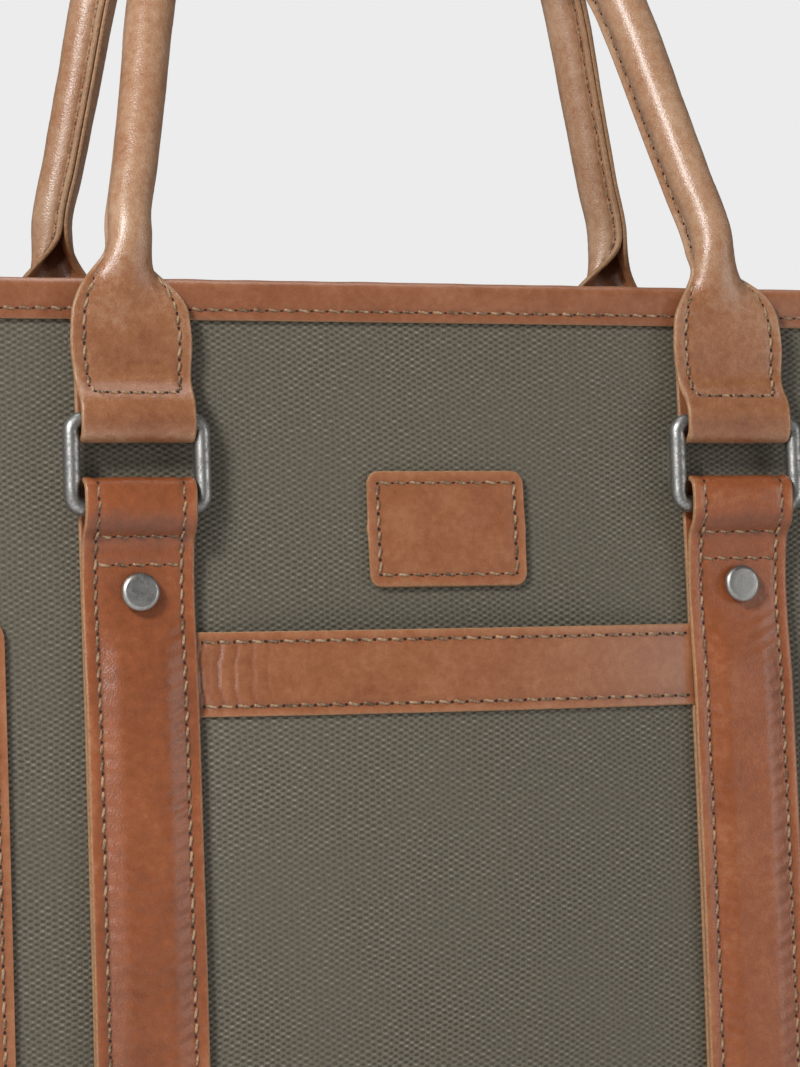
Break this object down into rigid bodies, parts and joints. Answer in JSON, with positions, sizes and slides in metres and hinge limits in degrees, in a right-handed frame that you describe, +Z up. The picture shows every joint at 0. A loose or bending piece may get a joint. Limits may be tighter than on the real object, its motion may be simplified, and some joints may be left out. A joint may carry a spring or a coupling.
{
  "type": "messenger bag",
  "caption": "Canvas and leather top-handled work bag with ring-hung handles, strapped slip pocket and recessed top zip.",
  "frame": {"origin": "middle of the base's underside", "axes": "+X to the right along the front, -Y out of the front, +Z up"},
  "size_m": [0.414, 0.1476, 0.4745],
  "materials": {
    "canvas": "coated, coarse weave",
    "leather": "semi-gloss, smooth grain",
    "lining": "matt",
    "board": "matt",
    "metal": "antique nickel",
    "zip_teeth": "antique",
    "rope": "matt"
  },
  "bodies": {
    "bag": {"front_panel": "canvas", "back_panel": "canvas", "left_gusset": "canvas", "right_gusset": "canvas", "pocket_panel": "canvas", "base_panel": "leather", "top_binding_front": "leather", "top_binding_back": "leather", "top_binding_left": "leather", "top_binding_right": "leather", "strap_front_left": "leather", "strap_front_right": "leather", "strap_back_left": "leather", "strap_back_right": "leather", "pocket_band": "leather", "label_patch": "leather", "end_panel_left": "leather", "end_panel_right": "leather", "side_tab_left": "leather", "side_tab_right": "leather", "lining": "lining", "zip_facing_front": "lining", "zip_facing_back": "lining", "laptop_divider": "lining", "inner_pocket": "lining", "base_board": "board", "rivet_front_left": "metal", "rivet_front_right": "metal", "rivet_back_left": "metal", "rivet_back_right": "metal", "rivet_cap_front_left": "metal", "rivet_cap_front_right": "metal", "rivet_cap_back_left": "metal", "rivet_cap_back_right": "metal"},
    "ring_front_left": {"ring_front_left": "metal"},
    "ring_front_right": {"ring_front_right": "metal"},
    "ring_back_left": {"ring_back_left": "metal"},
    "ring_back_right": {"ring_back_right": "metal"},
    "front_handle": {"handle_front": "leather", "handle_rope_front": "rope"},
    "back_handle": {"handle_back": "leather", "handle_rope_back": "rope"},
    "zip_front_half": {"zip_flap_front": "canvas", "zip_teeth_front": "zip_teeth"},
    "zip_back_half": {"zip_flap_back": "canvas", "zip_teeth_back": "zip_teeth"},
    "slider": {"zip_slider": "metal", "zip_slider_bail": "metal"},
    "puller": {"zip_puller": "metal", "zip_pull_leather": "leather"},
    "d_ring_left": {"side_d_ring_left": "metal"},
    "d_ring_right": {"side_d_ring_right": "metal"}
  },
  "joints": [
    {"name": "ring_front_left_swing", "type": "hinge", "parent": "bag", "child": "ring_front_left", "pos_m": [-0.0955, -0.05674, 0.2322], "axis": [1, 0, 0], "range_deg": [0, 80]},
    {"name": "ring_front_right_swing", "type": "hinge", "parent": "bag", "child": "ring_front_right", "pos_m": [0.0955, -0.05674, 0.2322], "axis": [1, 0, 0], "range_deg": [0, 80]},
    {"name": "handle_front_swing", "type": "hinge", "parent": "ring_front_left", "child": "front_handle", "pos_m": [0, -0.05524, 0.2574], "axis": [1, 0, 0], "range_deg": [0, 100]},
    {"name": "zip_front_lift", "type": "hinge", "parent": "bag", "child": "zip_front_half", "pos_m": [0, -0.0295, 0.279], "axis": [1, 0, 0], "range_deg": [0, 75]},
    {"name": "ring_back_left_swing", "type": "hinge", "parent": "bag", "child": "ring_back_left", "pos_m": [-0.0955, 0.05635, 0.2362], "axis": [-1, 0, 0], "range_deg": [0, 80]},
    {"name": "ring_back_right_swing", "type": "hinge", "parent": "bag", "child": "ring_back_right", "pos_m": [0.0955, 0.05635, 0.2362], "axis": [-1, 0, 0], "range_deg": [0, 80]},
    {"name": "handle_back_swing", "type": "hinge", "parent": "ring_back_left", "child": "back_handle", "pos_m": [0, 0.05484, 0.2614], "axis": [-1, 0, 0], "range_deg": [0, 100]},
    {"name": "zip_back_lift", "type": "hinge", "parent": "bag", "child": "zip_back_half", "pos_m": [0, 0.0295, 0.279], "axis": [-1, 0, 0], "range_deg": [0, 75]},
    {"name": "zip_slide", "type": "slide", "parent": "zip_front_half", "child": "slider", "axis": [1, 0, 0], "range_m": [0, 0.235]},
    {"name": "zip_puller_swing", "type": "hinge", "parent": "slider", "child": "puller", "pos_m": [-0.135, 0, 0.2816], "axis": [0, -1, 0], "range_deg": [0, 150]},
    {"name": "d_ring_left_swing", "type": "hinge", "parent": "bag", "child": "d_ring_left", "pos_m": [-0.2033, 0, 0.2485], "axis": [0, 1, 0], "range_deg": [0, 150]},
    {"name": "d_ring_right_swing", "type": "hinge", "parent": "bag", "child": "d_ring_right", "pos_m": [0.2033, 0, 0.2485], "axis": [0, -1, 0], "range_deg": [0, 150]}
  ],
  "couplings": [
    {"joint": "ring_front_right_swing", "follows": "ring_front_left_swing", "ratio": 1},
    {"joint": "ring_back_right_swing", "follows": "ring_back_left_swing", "ratio": 1},
    {"joint": "zip_back_lift", "follows": "zip_front_lift", "ratio": 1}
  ]
}
